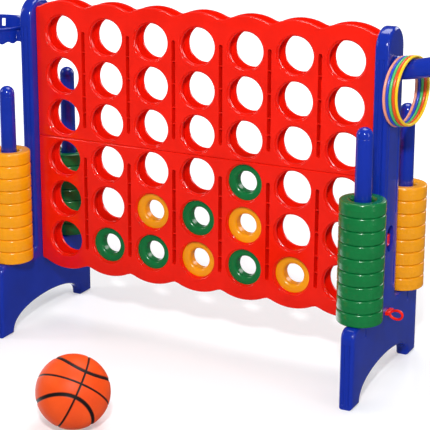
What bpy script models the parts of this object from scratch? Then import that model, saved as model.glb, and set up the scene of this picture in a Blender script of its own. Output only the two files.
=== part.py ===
"""Giant four in a row: a free-standing lawn game.

A red board with seven columns stands between two blue legs.  The board is two halves high, and each
half is a front and a back shell with the disc columns between them.  Each leg carries two pegs with
spare discs.  A slider under the columns holds the discs in the board, the left leg carries a ball hoop
and the right leg carries an arm with five toss rings.

Metres, +Z up, X along the board, front at -Y.  Z = 0 is the ground.  Everything hangs from one empty,
game_centre, in the middle between the four feet, and the origin is the middle of the whole set's base.
"""

import math

import bmesh
import bpy
from mathutils import Matrix, Vector

# ---------------------------------------------------------------- driving dimensions
GAP = 0.0003
COLUMNS = 7
ROWS = 6
COLUMN_PITCH = 0.157
ROW_PITCH = 0.132

DISC_RADIUS = ROW_PITCH / 2 - GAP / 2
DISC_BORE_RADIUS = 0.032
DISC_THICKNESS = 0.0392
DISC_SEGMENTS = 14
STACK_PITCH = DISC_THICKNESS + GAP

HOLE_RADIUS = 0.0556
HOLE_SEGMENTS = 12
BOARD_DEPTH = 0.0676
BOARD_CENTRE_Z = 0.6107
SLOT_DEPTH = 0.0406
DIVIDER_WIDTH = 0.020
LEDGE_THICKNESS = 0.006
DIVIDER_RECESS = 0.004
CREST_HEIGHT = 0.102
SCALLOP_DROP = 0.021
SCALLOP_STEPS = 5

LEG_INNER_X = 0.5636
LEG_THICKNESS = 0.0424
LEG_OUTER_X = LEG_INNER_X + LEG_THICKNESS
LEG_X = LEG_INNER_X + LEG_THICKNESS / 2
LEG_HALF_DEPTH = 0.2614
FOOT_LENGTH = 0.0612
ARCH_HEIGHT = 0.075
SHOULDER_Z = 0.2352
SHOULDER_RADIUS = 0.030
POST_HALF_DEPTH = 0.063
POST_FILLET = 0.018
POST_TOP_Z = 1.042

HOOK_SLOT_WIDTH = 0.050
HOOK_SLOT_HEIGHT = 0.078
HOOK_SLOT_Z = (0.431, 0.850)
HOOK_HALF_DEPTH = 0.019
HOOK_DROP = 0.014
HOOK_HEIGHT = 0.034
HOOK_LENGTH = 0.036

PEG_Y = 0.170
PEG_RADIUS = 0.0255
PEG_TIP_RADIUS = 0.0235
PEG_HEIGHT = 0.5565

SLIDER_WIDTH = 0.030
SLIDER_HEIGHT = 0.011
SLIDER_CLEARANCE = 0.0005
SLIDER_START_X = -0.537
HANDLE_LENGTH = 0.046
HANDLE_HEIGHT = 0.038
HANDLE_ROD_RADIUS = 0.0036
HANDLE_POINTS = 16
HANDLE_STANDOFF = 0.004
HANDLE_DROP = 0.006
BAR_STICKOUT = 0.012

HOOP_RADIUS = 0.145
HOOP_WALL = 0.005
HOOP_LIP = 0.004
HOOP_HEIGHT = 0.052
HOOP_TOP_Z = 0.952
HOOP_STANDOFF = 0.015
BRACKET_HALF_WIDTH = 0.045
BRACKET_INSET = 0.004
HOOP_REACH = LEG_OUTER_X + HOOP_STANDOFF + 2 * HOOP_RADIUS + HOOP_LIP

ARM_RADIUS = 0.0275
ARM_BASE_Z = 0.922
ARM_RISE = 0.098
ARM_FLANGE_RADIUS = 0.038
ARM_FLANGE_THICKNESS = 0.006
ARM_POINTS = 8
ARM_CURVE = 1.6

RING_RADIUS = 0.0958
RING_SECTION = 0.0042
RING_PITCH = 0.0088
RING_CLEARANCE = 0.002
RING_SEGMENTS = 18
RING_SIDES = 6
RING_FIRST_X = LEG_OUTER_X + 0.015
RING_YAW = math.radians(8)

BALL_RADIUS = 0.102
BALL_X = -0.029
BALL_Y = -0.699

# The set reaches from the ball's front to the rear feet; half the difference puts the origin midway.
CENTRE_Y = (BALL_RADIUS - BALL_Y - LEG_HALF_DEPTH) / 2

# Discs in the board: column from the left, colours from the bottom up.
BOARD_DISCS = {
    2: ("green",),
    3: ("green", "yellow"),
    4: ("yellow", "green"),
    5: ("green", "yellow", "green"),
    6: ("yellow",),
}
# Discs on the pegs: colour, count, and how many of the lowest solids are two discs high.
PEG_STACKS = {
    ("front", "left"): ("yellow", 9, 0),
    ("front", "right"): ("green", 9, 0),
    ("rear", "left"): ("green", 7, 2),
    ("rear", "right"): ("yellow", 8, 0),
}
RING_COLOURS = ("pink", "blue", "green", "orange", "yellow")

COLOURS = {
    "red": (0.86, 0.022, 0.006),
    "blue": (0.016, 0.050, 0.48),
    "green": (0.010, 0.24, 0.050),
    "yellow": (0.95, 0.49, 0.012),
    "pink": (0.90, 0.33, 0.22),
    "orange": (0.83, 0.10, 0.008),
    "ball": (0.72, 0.11, 0.010),
}


# ---------------------------------------------------------------- scene helpers
def clear_scene():
    for old in list(bpy.data.objects):
        bpy.data.objects.remove(old, do_unlink=True)


def new_collection(name):
    collection = bpy.data.collections.new(name)
    bpy.context.scene.collection.children.link(collection)
    return collection


clear_scene()
PARTS = new_collection("giant_four_in_a_row")
CUTTERS = new_collection("cutters")
CENTRE = bpy.data.objects.new("game_centre", None)
CENTRE.location = (0, CENTRE_Y, 0)
PARTS.objects.link(CENTRE)


def material(colour, roughness=0.35):
    """Moulded plastic of one of the set's colours."""
    name = colour + "_plastic"
    found = bpy.data.materials.get(name)
    if found:
        return found
    made = bpy.data.materials.new(name)
    made.use_nodes = True
    shader = made.node_tree.nodes["Principled BSDF"]
    shader.inputs["Base Color"].default_value = (*COLOURS[colour], 1)
    shader.inputs["Roughness"].default_value = roughness
    shader.inputs["Metallic"].default_value = 0.0
    return made


def place(name, mesh, colour, location=(0, 0, 0), rotation=(0, 0, 0), smooth=False):
    """Adds a part to the set, under the empty in the middle of the game."""
    part = bpy.data.objects.new(name, mesh)
    PARTS.objects.link(part)
    part.parent = CENTRE
    part.location = location
    part.rotation_euler = rotation
    if not mesh.materials:
        mesh.materials.append(material(colour))
    if smooth:
        mesh.shade_smooth()
        mesh.set_sharp_from_angle(angle=math.radians(40))
    return part


def boolean(part, cutter, operation):
    step = part.modifiers.new(operation.lower(), "BOOLEAN")
    step.operation = operation
    step.solver = "EXACT"
    step.object = cutter


def cutter_object(name, mesh):
    """A guide that other parts are cut or joined with; it hangs from the same empty as they do."""
    cutter = bpy.data.objects.new(name, mesh)
    CUTTERS.objects.link(cutter)
    cutter.parent = CENTRE
    cutter.hide_render = True
    cutter.display_type = "WIRE"
    return cutter


def boxes_mesh(name, boxes):
    """Separate boxes, each given by its lowest and its highest corner."""
    shape = bmesh.new()
    for low, high in boxes:
        low, high = Vector(low), Vector(high)
        size = Matrix.Diagonal((*(high - low), 1))
        bmesh.ops.create_cube(shape, size=1, matrix=Matrix.Translation((low + high) / 2) @ size)
    mesh = bpy.data.meshes.new(name)
    shape.to_mesh(mesh)
    shape.free()
    return mesh


def curve_to_mesh(curve_object):
    """The curve's evaluated mesh with its caps welded on; the curve is removed."""
    bpy.context.view_layer.update()
    evaluated = curve_object.evaluated_get(bpy.context.evaluated_depsgraph_get())
    mesh = bpy.data.meshes.new_from_object(evaluated)
    mesh.transform(curve_object.matrix_world)
    curve = curve_object.data
    bpy.data.objects.remove(curve_object, do_unlink=True)
    bpy.data.curves.remove(curve)
    shape = bmesh.new()
    shape.from_mesh(mesh)
    bmesh.ops.remove_doubles(shape, verts=shape.verts, dist=0.00001)
    bmesh.ops.recalc_face_normals(shape, faces=shape.faces)
    shape.to_mesh(mesh)
    shape.free()
    mesh.materials.clear()
    return mesh


def add_spline(curve, points, cyclic=True):
    spline = curve.splines.new("POLY")
    spline.points.add(len(points) - 1)
    for target, point in zip(spline.points, points):
        target.co = (*point, 0, 1) if len(point) == 2 else (*point, 1)
    spline.use_cyclic_u = cyclic


def plate(name, outline, holes, thickness, turn):
    """A flat plate of the given thickness; turn carries its drawing plane into the model."""
    shape = bmesh.new()
    edges = []
    for loop in (outline, *holes):
        corners = [shape.verts.new((x, y, -thickness / 2)) for x, y in loop]
        edges += [shape.edges.new((a, b)) for a, b in zip(corners, corners[1:] + corners[:1])]
    bmesh.ops.triangle_fill(shape, use_beauty=True, edges=edges)
    base = shape.faces[:]
    raised = bmesh.ops.extrude_face_region(shape, geom=base, use_keep_orig=True)["geom"]
    top = [item for item in raised if isinstance(item, bmesh.types.BMVert)]
    bmesh.ops.translate(shape, verts=top, vec=(0, 0, thickness))
    bmesh.ops.recalc_face_normals(shape, faces=shape.faces)
    mesh = bpy.data.meshes.new(name)
    shape.to_mesh(mesh)
    shape.free()
    mesh.transform(turn)
    return mesh


def turned(name, profile, segments):
    """A turned solid: the profile's (radius, height) points run down its outer side."""
    mesh = bpy.data.meshes.new(name)
    count = len(profile)
    closed = profile[0][0] > 0
    edges = [(i, (i + 1) % count) for i in range(count if closed else count - 1)]
    mesh.from_pydata([(radius, 0, height) for radius, height in profile], edges, [])
    guide = bpy.data.objects.new(name, mesh)
    CUTTERS.objects.link(guide)
    screw = guide.modifiers.new("turn", "SCREW")
    screw.steps = segments
    screw.render_steps = segments
    screw.use_merge_vertices = True
    screw.merge_threshold = 0.00001
    bpy.context.view_layer.update()
    evaluated = guide.evaluated_get(bpy.context.evaluated_depsgraph_get())
    solid = bpy.data.meshes.new_from_object(evaluated)
    bpy.data.objects.remove(guide, do_unlink=True)
    return solid


def arc(centre, radius, start, end, steps):
    """Points of a circular arc, angles in degrees."""
    angles = [math.radians(start + (end - start) * i / steps) for i in range(steps + 1)]
    return [(centre[0] + radius * math.cos(a), centre[1] + radius * math.sin(a)) for a in angles]


# ---------------------------------------------------------------- board
def column_x(column):
    return (column - (COLUMNS + 1) / 2) * COLUMN_PITCH


def row_z(row):
    """Rows count from the top."""
    return BOARD_CENTRE_Z + ((ROWS + 1) / 2 - row) * ROW_PITCH


def scallop(column, crest_z, upward):
    """One column's arched edge, from left to right without its last point."""
    half = COLUMN_PITCH / 2
    radius = (half**2 + SCALLOP_DROP**2) / (2 * SCALLOP_DROP)
    points = []
    for step in range(SCALLOP_STEPS):
        x = -half + COLUMN_PITCH * step / SCALLOP_STEPS
        fall = radius - math.sqrt(radius**2 - x**2)
        points.append((column_x(column) + x, crest_z - fall * upward))
    return points


def board_outline(upper):
    """A half board's outline with its scalloped edge."""
    edge = LEG_INNER_X - GAP
    upward = 1 if upper else -1
    crest = row_z(1) + CREST_HEIGHT if upper else row_z(ROWS) - CREST_HEIGHT
    seam = BOARD_CENTRE_Z + GAP / 2 * upward
    edge_x = COLUMNS * COLUMN_PITCH / 2
    arched = [point for column in range(1, COLUMNS + 1) for point in scallop(column, crest, upward)]
    arched.append((edge_x, crest - SCALLOP_DROP * upward))
    side_top = crest - SCALLOP_DROP * upward
    right = [(edge, side_top), (edge, seam)]
    left = [(-x, z) for x, z in reversed(right)]
    outline = arched + right + left
    return outline if upper else outline[::-1]


def circle(centre, radius, segments):
    return arc(centre, radius, 0, 360 * (1 - 1 / segments), segments - 1)


SLIDER_TOP = row_z(ROWS) - DISC_RADIUS - GAP
SLIDER_BOTTOM = SLIDER_TOP - SLIDER_HEIGHT


def board_shell(name, front, upper):
    """One face plate of the board, with a hole in front of each disc's place."""
    rows = range(1, ROWS // 2 + 1) if upper else range(ROWS // 2 + 1, ROWS + 1)
    holes = [
        circle((column_x(column), row_z(row)), HOLE_RADIUS, HOLE_SEGMENTS)
        for column in range(1, COLUMNS + 1)
        for row in rows
    ]
    thickness = (BOARD_DEPTH - SLOT_DEPTH) / 2
    side = -1 if front else 1
    middle = side * (SLOT_DEPTH / 2 + thickness / 2)
    turn = Matrix.Translation((0, middle, 0)) @ Matrix.Rotation(math.pi / 2, 4, "X")
    return place(name, plate(name, board_outline(upper), holes, thickness, turn), "red")


def column_walls():
    """The walls between and beside the columns, joined by a ledge under the slider, with the hooks.

    Each wall straddles the slider and stands on the ledge; the hooks go into the posts' slots.
    """
    half_depth = SLOT_DEPTH / 2 - GAP
    half_width = DIVIDER_WIDTH / 2
    reach = COLUMNS * COLUMN_PITCH / 2
    ledge_top = SLIDER_BOTTOM - SLIDER_CLEARANCE
    ledge_low = ledge_top - LEDGE_THICKNESS
    wall_top = row_z(1) + CREST_HEIGHT - SCALLOP_DROP - DIVIDER_RECESS
    ledge = [((-reach, -half_depth, ledge_low), (reach, half_depth, ledge_top))]
    part = place("column_walls", boxes_mesh("column_walls", ledge), "red")
    joined = []
    for wall in range(COLUMNS + 1):
        middle = (wall - COLUMNS / 2) * COLUMN_PITCH
        low = (middle - half_width, -half_depth, ledge_low)
        joined.append((low, (middle + half_width, half_depth, wall_top)))
    for centre_z in HOOK_SLOT_Z:
        low = centre_z - HOOK_SLOT_HEIGHT / 2 + HOOK_DROP
        tip = LEG_INNER_X + HOOK_LENGTH
        for x in ((reach, tip), (-tip, -reach)):
            joined.append(((x[0], -HOOK_HALF_DEPTH, low), (x[1], HOOK_HALF_DEPTH, low + HOOK_HEIGHT)))
    for number, box in enumerate(joined):
        guide = f"column_wall_{number + 1}"
        boolean(part, cutter_object(guide, boxes_mesh(guide, [box])), "UNION")
    tunnel_half = SLIDER_WIDTH / 2 + SLIDER_CLEARANCE
    tunnel_low = (SLIDER_START_X - SLIDER_CLEARANCE, -tunnel_half, ledge_top)
    tunnel_high = (LEG_INNER_X, tunnel_half, SLIDER_TOP + SLIDER_CLEARANCE)
    tunnel = cutter_object("slider_tunnel", boxes_mesh("slider_tunnel", [(tunnel_low, tunnel_high)]))
    boolean(part, tunnel, "DIFFERENCE")
    return part


# ---------------------------------------------------------------- legs and pegs
def leg_outline():
    """The leg in the Y-Z plane: two feet with an arch between them, two shoulders and the post."""
    inner_foot = LEG_HALF_DEPTH - FOOT_LENGTH
    half = [(inner_foot, 0), (LEG_HALF_DEPTH, 0)]
    corner = (LEG_HALF_DEPTH - SHOULDER_RADIUS, SHOULDER_Z - SHOULDER_RADIUS)
    half += arc(corner, SHOULDER_RADIUS, 0, 90, 3)
    fillet = (POST_HALF_DEPTH + POST_FILLET, SHOULDER_Z + POST_FILLET)
    half += arc(fillet, POST_FILLET, 270, 180, 3)
    half += arc((0, POST_TOP_Z - POST_HALF_DEPTH), POST_HALF_DEPTH, 0, 90, 5)
    other = [(-y, z) for y, z in reversed(half[:-1])]
    arch = [
        (-inner_foot * math.cos(math.pi * i / 10), ARCH_HEIGHT * math.sin(math.pi * i / 10) ** 0.8)
        for i in range(1, 10)
    ]
    return half + other + arch


def obround(centre_z):
    reach = (HOOK_SLOT_HEIGHT - HOOK_SLOT_WIDTH) / 2
    top = arc((0, centre_z + reach), HOOK_SLOT_WIDTH / 2, 0, 180, 6)
    bottom = arc((0, centre_z - reach), HOOK_SLOT_WIDTH / 2, 180, 360, 6)
    return top + bottom


def leg(name, side):
    holes = [obround(z) for z in HOOK_SLOT_Z]
    if side > 0:
        half = SLOT_DEPTH / 2
        low, high = SLIDER_BOTTOM - SLIDER_CLEARANCE, SLIDER_TOP + SLIDER_CLEARANCE
        holes.append([(-half, low), (half, low), (half, high), (-half, high)])
    axes = Matrix(((0, 0, 1, 0), (1, 0, 0, 0), (0, 1, 0, 0), (0, 0, 0, 1)))
    turn = Matrix.Translation((side * LEG_X, 0, 0)) @ axes
    return place(name, plate(name, leg_outline(), holes, LEG_THICKNESS, turn), "blue")


def peg_mesh():
    """A tapered peg with a rounded end, turned about its own axis."""
    shaft = PEG_HEIGHT - PEG_TIP_RADIUS
    dome = arc((0, shaft), PEG_TIP_RADIUS, 90, 0, 3)
    profile = [*dome, (PEG_RADIUS, 0), (0, 0)]
    profile[0] = (0, PEG_HEIGHT)
    return turned("peg", profile, 12)


# ---------------------------------------------------------------- discs
def disc_mesh(name, height):
    outer, bore = DISC_RADIUS, DISC_BORE_RADIUS
    profile = [(outer, height), (outer, 0), (bore, 0), (bore, height)]
    return turned(name, profile, DISC_SEGMENTS)


def peg_discs():
    """The spare discs, each standing on the one below it, the lowest on the leg's shoulder."""
    single = {c: disc_mesh(c + "_disc", DISC_THICKNESS) for c in ("green", "yellow")}
    for (row, side), (colour, count, pairs) in PEG_STACKS.items():
        x = LEG_X * (1 if side == "right" else -1)
        y = PEG_Y * (1 if row == "rear" else -1)
        level = 0
        number = 1
        while level < count:
            mesh = single[colour]
            high = 2 if number <= pairs else 1
            if high > 1:
                mesh = disc_mesh(colour + "_disc_pair", DISC_THICKNESS + STACK_PITCH)
            name = f"{colour}_disc_{row}_{side}_{number}"
            z = SHOULDER_Z + GAP + level * STACK_PITCH
            place(name, mesh, colour, (x, y, z), smooth=True)
            level += high
            number += 1


def board_discs():
    """The discs in the board, on edge in their columns, each standing on the one below it."""
    meshes = {c: disc_mesh(c + "_board_disc", DISC_THICKNESS) for c in ("green", "yellow")}
    for mesh in meshes.values():
        mesh.transform(Matrix.Translation((0, 0, -DISC_THICKNESS / 2)))
    for column, colours in BOARD_DISCS.items():
        for level, colour in enumerate(colours):
            name = f"{colour}_disc_column_{column}_{level + 1}"
            place_at = (column_x(column), 0, row_z(ROWS - level))
            place(name, meshes[colour], colour, place_at, (math.pi / 2, 0, 0), smooth=True)


# ---------------------------------------------------------------- release slider
def tube_mesh(name, points, radius, cyclic, sides):
    """A round rod along the points."""
    curve = bpy.data.curves.new(name, "CURVE")
    curve.dimensions = "3D"
    curve.bevel_depth = radius
    curve.bevel_resolution = sides
    curve.use_fill_caps = True
    add_spline(curve, points, cyclic)
    rod = bpy.data.objects.new(name, curve)
    PARTS.objects.link(rod)
    return curve_to_mesh(rod)


def release_slider():
    """The bar that the lowest discs stand on, with a loop handle outside the right leg."""
    bar_end = LEG_OUTER_X + BAR_STICKOUT
    bar = boxes_mesh(
        "release_slider",
        [((SLIDER_START_X, -SLIDER_WIDTH / 2, SLIDER_BOTTOM), (bar_end, SLIDER_WIDTH / 2, SLIDER_TOP))],
    )
    part = place("release_slider", bar, "red")
    half_long = HANDLE_LENGTH / 2 - HANDLE_ROD_RADIUS
    half_high = HANDLE_HEIGHT / 2 - HANDLE_ROD_RADIUS
    middle_x = LEG_OUTER_X + HANDLE_STANDOFF + HANDLE_LENGTH / 2
    middle_z = (SLIDER_TOP + SLIDER_BOTTOM) / 2 - HANDLE_DROP
    loop = [
        (middle_x + half_long * math.cos(a), 0, middle_z + half_high * math.sin(a))
        for a in (2 * math.pi * i / HANDLE_POINTS for i in range(HANDLE_POINTS))
    ]
    handle = cutter_object("handle_loop", tube_mesh("handle_loop", loop, HANDLE_ROD_RADIUS, True, 1))
    boolean(part, handle, "UNION")
    return part


# ---------------------------------------------------------------- ball hoop
def ball_hoop():
    """A band with a rolled lip, held off the left post by a bracket."""
    top, bottom = HOOP_TOP_Z, HOOP_TOP_Z - HOOP_HEIGHT
    outer, inner = HOOP_RADIUS, HOOP_RADIUS - HOOP_WALL
    profile = [
        (outer + HOOP_LIP, top),
        (outer + HOOP_LIP, top - 2 * HOOP_LIP),
        (outer, top - 2 * HOOP_LIP),
        (outer - HOOP_LIP, bottom),
        (inner - HOOP_LIP, bottom),
        (inner, top),
    ]
    band = turned("ball_hoop", profile, 24)
    centre_x = -(LEG_OUTER_X + HOOP_STANDOFF + HOOP_RADIUS)
    band.transform(Matrix.Translation((centre_x, 0, 0)))
    part = place("ball_hoop", band, "blue", smooth=True)
    near, far = -LEG_OUTER_X - GAP, -LEG_OUTER_X - HOOP_STANDOFF - HOOP_WALL
    low = (far, -BRACKET_HALF_WIDTH, bottom + BRACKET_INSET)
    high = (near, BRACKET_HALF_WIDTH, top - 2 * HOOP_LIP - BRACKET_INSET)
    bracket = boxes_mesh("hoop_bracket", [(low, high)])
    boolean(part, cutter_object("hoop_bracket", bracket), "UNION")
    return part


# ---------------------------------------------------------------- toss arm and rings
def arm_centre_z(x):
    """The arm curves upwards away from the post: height of its middle line at x."""
    along = (x - LEG_OUTER_X) / (HOOP_REACH - LEG_OUTER_X)
    return ARM_BASE_Z + ARM_RISE * max(along, 0) ** ARM_CURVE


def toss_arm():
    start = LEG_OUTER_X + GAP
    # The last ring of the tube leans, so the middle line stops short of the tip by that much.
    reach = HOOP_REACH - ARM_RADIUS * 0.45 - start
    points = [
        (start + reach * i / ARM_POINTS, 0, arm_centre_z(start + reach * i / ARM_POINTS))
        for i in range(ARM_POINTS + 1)
    ]
    points[0] = (start, 0, ARM_BASE_Z)
    arm = tube_mesh("toss_arm", points, ARM_RADIUS, False, 2)
    # The tube's first ring leans with the curve, so its end is squared off by the flange's back face.
    part = place("toss_arm", arm, "blue", smooth=True)
    rim = ARM_FLANGE_THICKNESS
    flange = turned(
        "arm_flange",
        [(0, rim), (ARM_FLANGE_RADIUS, rim), (ARM_FLANGE_RADIUS, 0), (0, 0)],
        16,
    )
    flange.transform(Matrix.Translation((start, 0, ARM_BASE_Z)) @ Matrix.Rotation(math.pi / 2, 4, "Y"))
    boolean(part, cutter_object("arm_flange", flange), "UNION")
    wall = boxes_mesh("post_side", [((start - 0.05, -0.1, ARM_BASE_Z - 0.1), (start, 0.1, ARM_BASE_Z + 0.1))])
    boolean(part, cutter_object("post_side", wall), "DIFFERENCE")
    return part


def toss_rings():
    """Five rings hanging on the arm next to the post."""
    bpy.ops.mesh.primitive_torus_add(
        major_radius=RING_RADIUS,
        minor_radius=RING_SECTION,
        major_segments=RING_SEGMENTS,
        minor_segments=RING_SIDES,
    )
    guide = bpy.context.object
    ring = guide.data
    ring.transform(Matrix.Rotation(math.pi / 2, 4, "Y"))
    bpy.data.objects.remove(guide, do_unlink=True)
    for number, colour in enumerate(RING_COLOURS):
        x = RING_FIRST_X + number * RING_PITCH
        arm_top = arm_centre_z(x + RING_PITCH) + ARM_RADIUS
        hang = arm_top + RING_CLEARANCE - (RING_RADIUS - RING_SECTION)
        turn = (0, 0, -RING_YAW)
        place("toss_ring_" + colour, ring.copy(), colour, (x, 0, hang), turn, smooth=True)


# ---------------------------------------------------------------- ball
def basketball():
    mesh = bpy.data.meshes.new("basketball")
    shape = bmesh.new()
    bmesh.ops.create_uvsphere(shape, u_segments=16, v_segments=10, radius=BALL_RADIUS)
    shape.to_mesh(mesh)
    shape.free()
    place("basketball", mesh, "ball", (BALL_X, BALL_Y, BALL_RADIUS), smooth=True)


# ---------------------------------------------------------------- the whole set
def build():
    leg("left_leg", -1)
    leg("right_leg", 1)
    peg = peg_mesh()
    for row, y in (("front", -PEG_Y), ("rear", PEG_Y)):
        for side, x in (("left", -LEG_X), ("right", LEG_X)):
            place(f"{row}_{side}_peg", peg, "blue", (x, y, SHOULDER_Z + GAP), smooth=True)
    for level, upper in (("upper", True), ("lower", False)):
        for face, front in (("front", True), ("back", False)):
            board_shell(f"board_{face}_{level}", front, upper)
    column_walls()
    release_slider()
    board_discs()
    peg_discs()
    ball_hoop()
    toss_arm()
    toss_rings()
    basketball()


build()
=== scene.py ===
"""Looks of the giant four in a row: moulded plastic board, legs, discs, hoop, arm, rings and ball."""

import math

import bmesh
import bpy
from mathutils import Matrix, Vector


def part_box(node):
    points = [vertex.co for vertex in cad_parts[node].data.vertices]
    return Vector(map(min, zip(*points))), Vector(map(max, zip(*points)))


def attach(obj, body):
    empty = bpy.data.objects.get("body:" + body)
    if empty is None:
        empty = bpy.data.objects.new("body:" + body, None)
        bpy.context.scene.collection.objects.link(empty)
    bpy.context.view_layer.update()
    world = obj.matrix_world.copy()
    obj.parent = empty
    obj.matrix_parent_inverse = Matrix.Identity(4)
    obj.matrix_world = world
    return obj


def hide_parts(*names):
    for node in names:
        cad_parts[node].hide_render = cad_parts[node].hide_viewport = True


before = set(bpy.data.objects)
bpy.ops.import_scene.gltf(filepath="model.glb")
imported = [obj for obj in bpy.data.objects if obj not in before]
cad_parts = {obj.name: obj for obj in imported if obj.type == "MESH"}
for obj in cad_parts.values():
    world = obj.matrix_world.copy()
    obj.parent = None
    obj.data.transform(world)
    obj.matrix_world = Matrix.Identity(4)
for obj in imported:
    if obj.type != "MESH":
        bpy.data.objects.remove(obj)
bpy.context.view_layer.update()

# ---------------------------------------------------------------- places, from the frame
GAP = 0.0003
LEG_LOW, LEG_HIGH = (Vector(corner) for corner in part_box("right_leg"))
CENTRE_Y = (LEG_LOW.y + LEG_HIGH.y) / 2
LEG_HALF_DEPTH = (LEG_HIGH.y - LEG_LOW.y) / 2
LEG_THICKNESS = LEG_HIGH.x - LEG_LOW.x
LEG_X = (LEG_LOW.x + LEG_HIGH.x) / 2
LEG_OUTER_X = LEG_HIGH.x
POST_TOP = LEG_HIGH.z
SHELL_LOW, SHELL_HIGH = (Vector(corner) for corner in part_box("board_front_upper"))
BOARD_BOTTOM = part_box("board_front_lower")[0][2]
BOARD_TOP = SHELL_HIGH.z
SEAM_Z = SHELL_LOW.z
BOARD_EDGE = LEG_LOW.x - GAP
BOARD_HALF_DEPTH = CENTRE_Y - SHELL_LOW.y

# ---------------------------------------------------------------- driving dimensions of the board
COLUMNS, ROWS = 7, 6
COLUMN_PITCH = 0.157
ROW_PITCH = 0.132
SLOT_HALF = 0.0203
SCALLOP_DROP = 0.021
CUSP_FILLET = 0.012
CUSP_FILL = 0.0028
BOARD_CORNER = 0.012
BOARD_BEVEL = 0.0042

HOLE_RADIUS = 0.0553
HOLE_SEGMENTS = 72
FLARE_RADIUS = 0.0592
FLARE_NARROWING = 0.0020
FLARE_DEPTH = 0.0040
LIP_ROUND = 0.0020
LIP_DROP = 0.0016
LIP_RADIUS = FLARE_RADIUS + LIP_ROUND
STEP_ROUND = 0.0016
STEP_DROP = 0.0012
STEP_DEPTH = 0.0072
TUBE_CHAMFER = 0.0012

GROOVE_HALF = 0.0060
GROOVE_DEPTH = 0.026
GROOVE_FOOT = 0.020
GROOVE_HEAD = 0.006
RIB_HALF_HEIGHT = 0.0012
RIB_SINK = 0.0040
RIB_OVERLAP = 0.0004

DIVIDER_WIDTH = 0.020
DIVIDER_BEVEL = 0.0012
LEDGE_THICKNESS = 0.006
LEDGE_HALF_LENGTH = 0.5495
CHANNEL_HALF_WIDTH = 0.0158
SLIDER_CLEARANCE = 0.0002
HOOK_SLOT_Z = (0.431, 0.850)
HOOK_SLOT_WIDTH = 0.050
HOOK_SLOT_HEIGHT = 0.078
HOOK_FOOT = 0.014
HOOK_HEIGHT = 0.034
HOOK_HALF_WIDTH = 0.019
HOOK_ROOT_X = 0.552

CUT_PAST = 0.01


# ---------------------------------------------------------------- mesh helpers
def finished(name, shape, material, angle=35):
    """Makes an object from a bmesh, shaded smooth between its sharp edges."""
    bmesh.ops.recalc_face_normals(shape, faces=shape.faces)
    mesh = bpy.data.meshes.new(name)
    shape.to_mesh(mesh)
    shape.free()
    mesh.materials.append(material)
    mesh.shade_smooth()
    mesh.set_sharp_from_angle(angle=math.radians(angle))
    piece = bpy.data.objects.new(name, mesh)
    bpy.context.scene.collection.objects.link(piece)
    return piece


def arc(centre, radius, start, end, steps):
    """Points along an arc, between two angles in degrees."""
    angles = [math.radians(start + (end - start) * i / steps) for i in range(steps + 1)]
    return [(centre[0] + radius * math.cos(a), centre[1] + radius * math.sin(a)) for a in angles]


def turn_angles(count):
    """Equal angles round a full turn."""
    return [2 * math.pi * i / count for i in range(count)]


def lathe(shape, profile, segments, place, closed=True):
    """Adds a turned ring or solid: profile holds (radius, height) points, turned about place's Z."""
    rings = []
    for radius, height in profile:
        if radius < 1e-6:
            rings.append([shape.verts.new(place @ Vector((0, 0, height)))])
            continue
        rings.append([
            shape.verts.new(place @ Vector((radius * math.cos(a), radius * math.sin(a), height)))
            for a in turn_angles(segments)
        ])
    pairs = list(zip(rings, rings[1:]))
    if closed:
        pairs.append((rings[-1], rings[0]))
    for low, high in pairs:
        for i in range(segments):
            j = (i + 1) % segments
            corners = [low[i % len(low)], low[j % len(low)], high[j % len(high)], high[i % len(high)]]
            unique = list(dict.fromkeys(corners))
            if len(unique) > 2:
                shape.faces.new(unique)


def stitch(shape, rings, closed=True):
    """Joins rings of vertices into a tube, and its last ring to its first where it is closed."""
    followers = rings[1:] + rings[:1] if closed else rings[1:]
    for here, there in zip(rings, followers):
        for j in range(len(here)):
            k = (j + 1) % len(here)
            shape.faces.new((here[j], there[j], there[k], here[k]))


def prism(outline, low, high, bevel, steps, axes, both=True):
    """A bevelled plate from a closed outline; axes maps (u, v, w) into the model."""
    shape = bmesh.new()
    bottom = [shape.verts.new((u, v, low)) for u, v in outline]
    face = shape.faces.new(bottom)
    raised = bmesh.ops.extrude_face_region(shape, geom=[face], use_keep_orig=True)["geom"]
    top = [item for item in raised if isinstance(item, bmesh.types.BMVert)]
    bmesh.ops.translate(shape, verts=top, vec=(0, 0, high - low))
    if bevel:
        levels = (low, high) if both else (low,)
        rims = [
            e for e in shape.edges
            if any(all(abs(v.co.z - level) < 1e-7 for v in e.verts) for level in levels)
        ]
        bmesh.ops.bevel(shape, geom=rims, offset=bevel, segments=steps, profile=0.5, affect="EDGES")
    shape.transform(axes)
    bmesh.ops.recalc_face_normals(shape, faces=shape.faces)
    return shape


def box(shape, low, high, bevel=0.0):
    """Adds a box between two corners, with rounded edges where a bevel is given."""
    low, high = Vector(low), Vector(high)
    size = Matrix.Diagonal((*(high - low), 1))
    made = bmesh.ops.create_cube(shape, size=1, matrix=Matrix.Translation((low + high) / 2) @ size)
    if bevel:
        edges = list({edge for vert in made["verts"] for edge in vert.link_edges})
        bmesh.ops.bevel(shape, geom=edges, offset=bevel, segments=3, profile=0.5, affect="EDGES")


def capsule(shape, start, end, radius, segments=20):
    """Adds a rod with round ends between two points."""
    start, end = Vector(start), Vector(end)
    length = (end - start).length
    turn = (end - start).to_track_quat("Z", "Y").to_matrix().to_4x4()
    angles = [math.radians(a) for a in range(0, 91, 15)]
    dome = [(radius * math.sin(a), -radius * math.cos(a)) for a in angles]
    profile = dome + [(r, length - h) for r, h in reversed(dome)]
    lathe(shape, profile, segments, Matrix.Translation(start) @ turn, closed=False)


def add(shape, other):
    """Moves another bmesh into this one."""
    mesh = bpy.data.meshes.new("part")
    other.to_mesh(mesh)
    other.free()
    shape.from_mesh(mesh)
    bpy.data.meshes.remove(mesh)


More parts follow.
